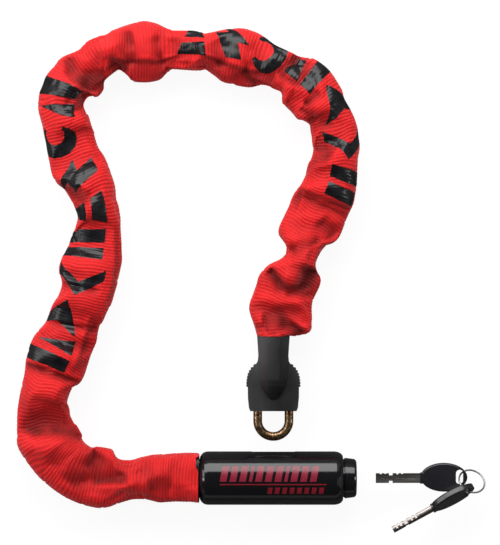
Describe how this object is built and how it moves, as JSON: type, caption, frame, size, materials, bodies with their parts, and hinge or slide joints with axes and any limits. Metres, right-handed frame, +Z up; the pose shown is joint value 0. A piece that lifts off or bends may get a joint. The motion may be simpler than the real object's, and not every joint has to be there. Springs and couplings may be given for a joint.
{
  "type": "chain lock",
  "caption": "Sleeved hardened chain with a cylindrical disc-detainer lock body at one end, a moulded boot with an end link at the other, and two keys on a ring.",
  "frame": {"origin": "on the lock body's long axis, in line with the centre of the end-link port", "axes": "+X along the lock body towards the key end, +Y from the lock body towards the loop, +Z up from the surface it lies on"},
  "size_m": [0.3362, 0.3652, 0.0384],
  "materials": {
    "hardened_steel": "satin",
    "gloss_black": "gloss",
    "collar_rubber": "matte",
    "pin_steel": "ground",
    "brass_parts": "machined",
    "spring_steel": "drawn",
    "drum_steel": "case hardened",
    "boot_rubber": "matte moulded",
    "gold_zinc": "yellow zinc dichromate plating",
    "chain_steel": "hardened, zinc plated",
    "red_fabric": "ribbed woven nylon",
    "key_steel": "nickel plated",
    "key_plastic": "satin moulded",
    "ring_steel": "polished"
  },
  "bodies": {
    "lock_body": {"lock_housing": "hardened_steel", "housing_jacket": "gloss_black", "sleeve_collar": "collar_rubber", "anchor_pin": "pin_steel", "cylinder_barrel": "brass_parts", "barrel_retaining_pin": "pin_steel", "core_retaining_ring": "spring_steel", "knob_cap": "gloss_black"},
    "core": {"disc_core": "brass_parts", "detainer_discs": "brass_parts", "spacer_discs": "pin_steel", "core_front_plate": "pin_steel", "sidebar": "pin_steel", "sidebar_springs": "spring_steel", "locking_drum": "drum_steel", "drive_pin": "pin_steel"},
    "shutter": {"dust_cover": "gloss_black"},
    "key_1": {"key_1_blade": "key_steel", "key_1_bow": "key_plastic"},
    "ring": {"key_ring": "ring_steel"},
    "key_2": {"key_2_blade": "key_steel", "key_2_bow": "key_plastic"},
    "link_01": {"chain_link_01": "chain_steel", "sleeve_01": "red_fabric"},
    "link_02": {"chain_link_02": "chain_steel"},
    "link_03": {"chain_link_03": "chain_steel", "sleeve_02": "red_fabric"},
    "link_04": {"chain_link_04": "chain_steel"},
    "link_05": {"chain_link_05": "chain_steel", "sleeve_03": "red_fabric"},
    "link_06": {"chain_link_06": "chain_steel"},
    "link_07": {"chain_link_07": "chain_steel", "sleeve_04": "red_fabric"},
    "link_08": {"chain_link_08": "chain_steel"},
    "link_09": {"chain_link_09": "chain_steel", "sleeve_05": "red_fabric"},
    "link_10": {"chain_link_10": "chain_steel"},
    "link_11": {"chain_link_11": "chain_steel", "sleeve_06": "red_fabric"},
    "link_12": {"chain_link_12": "chain_steel"},
    "link_13": {"chain_link_13": "chain_steel", "sleeve_07": "red_fabric"},
    "link_14": {"chain_link_14": "chain_steel"},
    "link_15": {"chain_link_15": "chain_steel", "sleeve_08": "red_fabric"},
    "link_16": {"chain_link_16": "chain_steel"},
    "link_17": {"chain_link_17": "chain_steel", "sleeve_09": "red_fabric"},
    "link_18": {"chain_link_18": "chain_steel"},
    "link_19": {"chain_link_19": "chain_steel", "sleeve_10": "red_fabric"},
    "link_20": {"chain_link_20": "chain_steel"},
    "link_21": {"chain_link_21": "chain_steel", "sleeve_11": "red_fabric"},
    "link_22": {"chain_link_22": "chain_steel"},
    "link_23": {"chain_link_23": "chain_steel", "sleeve_12": "red_fabric"},
    "link_24": {"chain_link_24": "chain_steel", "rubber_boot": "boot_rubber", "end_link": "gold_zinc"}
  },
  "joints": [
    {"name": "chain_hinge_01", "type": "hinge", "parent": "lock_body", "child": "link_01", "pos_m": [-0.044, 0, 0], "axis": [0, 0, 1], "range_deg": [-4, 11]},
    {"name": "chain_hinge_02", "type": "hinge", "parent": "link_01", "child": "link_02", "pos_m": [-0.06913, 0.00129, 0], "axis": [0, 0, -1], "range_deg": [-31, 4]},
    {"name": "chain_hinge_03", "type": "hinge", "parent": "link_02", "child": "link_03", "pos_m": [-0.11063, -0.00331, 0], "axis": [0, 0, 1], "range_deg": [-2.5, 58]},
    {"name": "chain_hinge_04", "type": "hinge", "parent": "link_03", "child": "link_04", "pos_m": [-0.13526, 0.00179, 0], "axis": [0, 0, -1], "range_deg": [-76, 2]},
    {"name": "chain_hinge_05", "type": "hinge", "parent": "link_04", "child": "link_05", "pos_m": [-0.16339, 0.03265, 0], "axis": [0, 0, 1], "range_deg": [-2, 76]},
    {"name": "chain_hinge_06", "type": "hinge", "parent": "link_05", "child": "link_06", "pos_m": [-0.16612, 0.05766, 0], "axis": [0, 0, -1], "range_deg": [-67, 2]},
    {"name": "chain_hinge_07", "type": "hinge", "parent": "link_06", "child": "link_07", "pos_m": [-0.1513, 0.0967, 0], "axis": [0, 0, 1], "range_deg": [-2, 45]},
    {"name": "chain_hinge_08", "type": "hinge", "parent": "link_07", "child": "link_08", "pos_m": [-0.14012, 0.11924, 0], "axis": [0, 0, -1], "range_deg": [-31, 2]},
    {"name": "chain_hinge_09", "type": "hinge", "parent": "link_08", "child": "link_09", "pos_m": [-0.1281, 0.15923, 0], "axis": [0, 0, 1], "range_deg": [-2.5, 28]},
    {"name": "chain_hinge_10", "type": "hinge", "parent": "link_09", "child": "link_10", "pos_m": [-0.12644, 0.18433, 0], "axis": [0, 0, -1], "range_deg": [-18, 2.5]},
    {"name": "chain_hinge_11", "type": "hinge", "parent": "link_10", "child": "link_11", "pos_m": [-0.13982, 0.22389, 0], "axis": [0, 0, 1], "range_deg": [-2, 35]},
    {"name": "chain_hinge_12", "type": "hinge", "parent": "link_11", "child": "link_12", "pos_m": [-0.14999, 0.2469, 0], "axis": [0, 0, -1], "range_deg": [-76, 2]},
    {"name": "chain_hinge_13", "type": "hinge", "parent": "link_12", "child": "link_13", "pos_m": [-0.14111, 0.2877, 0], "axis": [0, 0, 1], "range_deg": [-2, 76]},
    {"name": "chain_hinge_14", "type": "hinge", "parent": "link_13", "child": "link_14", "pos_m": [-0.12232, 0.30443, 0], "axis": [0, 0, -1], "range_deg": [-76, 2.5]},
    {"name": "chain_hinge_15", "type": "hinge", "parent": "link_14", "child": "link_15", "pos_m": [-0.08077, 0.30859, 0], "axis": [0, 0, 1], "range_deg": [-4, 48]},
    {"name": "chain_hinge_16", "type": "hinge", "parent": "link_15", "child": "link_16", "pos_m": [-0.05565, 0.30724, 0], "axis": [0, 0, -1], "range_deg": [-45, 26]},
    {"name": "chain_hinge_17", "type": "hinge", "parent": "link_16", "child": "link_17", "pos_m": [-0.01431, 0.30136, 0], "axis": [0, 0, 1], "range_deg": [-26, 51]},
    {"name": "chain_hinge_18", "type": "hinge", "parent": "link_17", "child": "link_18", "pos_m": [0.00935, 0.2928, 0], "axis": [0, 0, -1], "range_deg": [-65, 15]},
    {"name": "chain_hinge_19", "type": "hinge", "parent": "link_18", "child": "link_19", "pos_m": [0.03873, 0.26313, 0], "axis": [0, 0, 1], "range_deg": [-11, 69]},
    {"name": "chain_hinge_20", "type": "hinge", "parent": "link_19", "child": "link_20", "pos_m": [0.0455, 0.2389, 0], "axis": [0, 0, -1], "range_deg": [-69, 11]},
    {"name": "chain_hinge_21", "type": "hinge", "parent": "link_20", "child": "link_21", "pos_m": [0.03569, 0.19831, 0], "axis": [0, 0, 1], "range_deg": [-28, 51]},
    {"name": "chain_hinge_22", "type": "hinge", "parent": "link_21", "child": "link_22", "pos_m": [0.02504, 0.17551, 0], "axis": [0, 0, -1], "range_deg": [-35, 44]},
    {"name": "chain_hinge_23", "type": "hinge", "parent": "link_22", "child": "link_23", "pos_m": [0.01045, 0.13639, 0], "axis": [0, 0, 1], "range_deg": [-35, 44]},
    {"name": "chain_hinge_24", "type": "hinge", "parent": "link_23", "child": "link_24", "pos_m": [0.00001, 0.1135, 0], "axis": [0, 0, -1], "range_deg": [-15, 64]},
    {"name": "core_turn", "type": "hinge", "parent": "lock_body", "child": "core", "pos_m": [0.036, 0, 0], "axis": [1, 0, 0], "range_deg": [0, 90]},
    {"name": "shutter_swing", "type": "hinge", "parent": "lock_body", "child": "shutter", "pos_m": [0.0585, 0, -0.0065], "axis": [-1, 0, 0], "range_deg": [-74, 0]},
    {"name": "key_1_slide", "type": "slide", "parent": "core", "child": "key_1", "axis": [-1, 0, 0], "range_m": [0, 0.045]},
    {"name": "key_ring_swing", "type": "hinge", "parent": "key_1", "child": "ring", "pos_m": [0.1374, 0.0009, 0], "axis": [0, 1, 0], "range_deg": [-6, 6]},
    {"name": "key_2_swing", "type": "hinge", "parent": "ring", "child": "key_2", "pos_m": [0.13699, -0.00737, 0.00546], "axis": [0.9397, -0.342, 0], "range_deg": [-5, 5]}
  ]
}
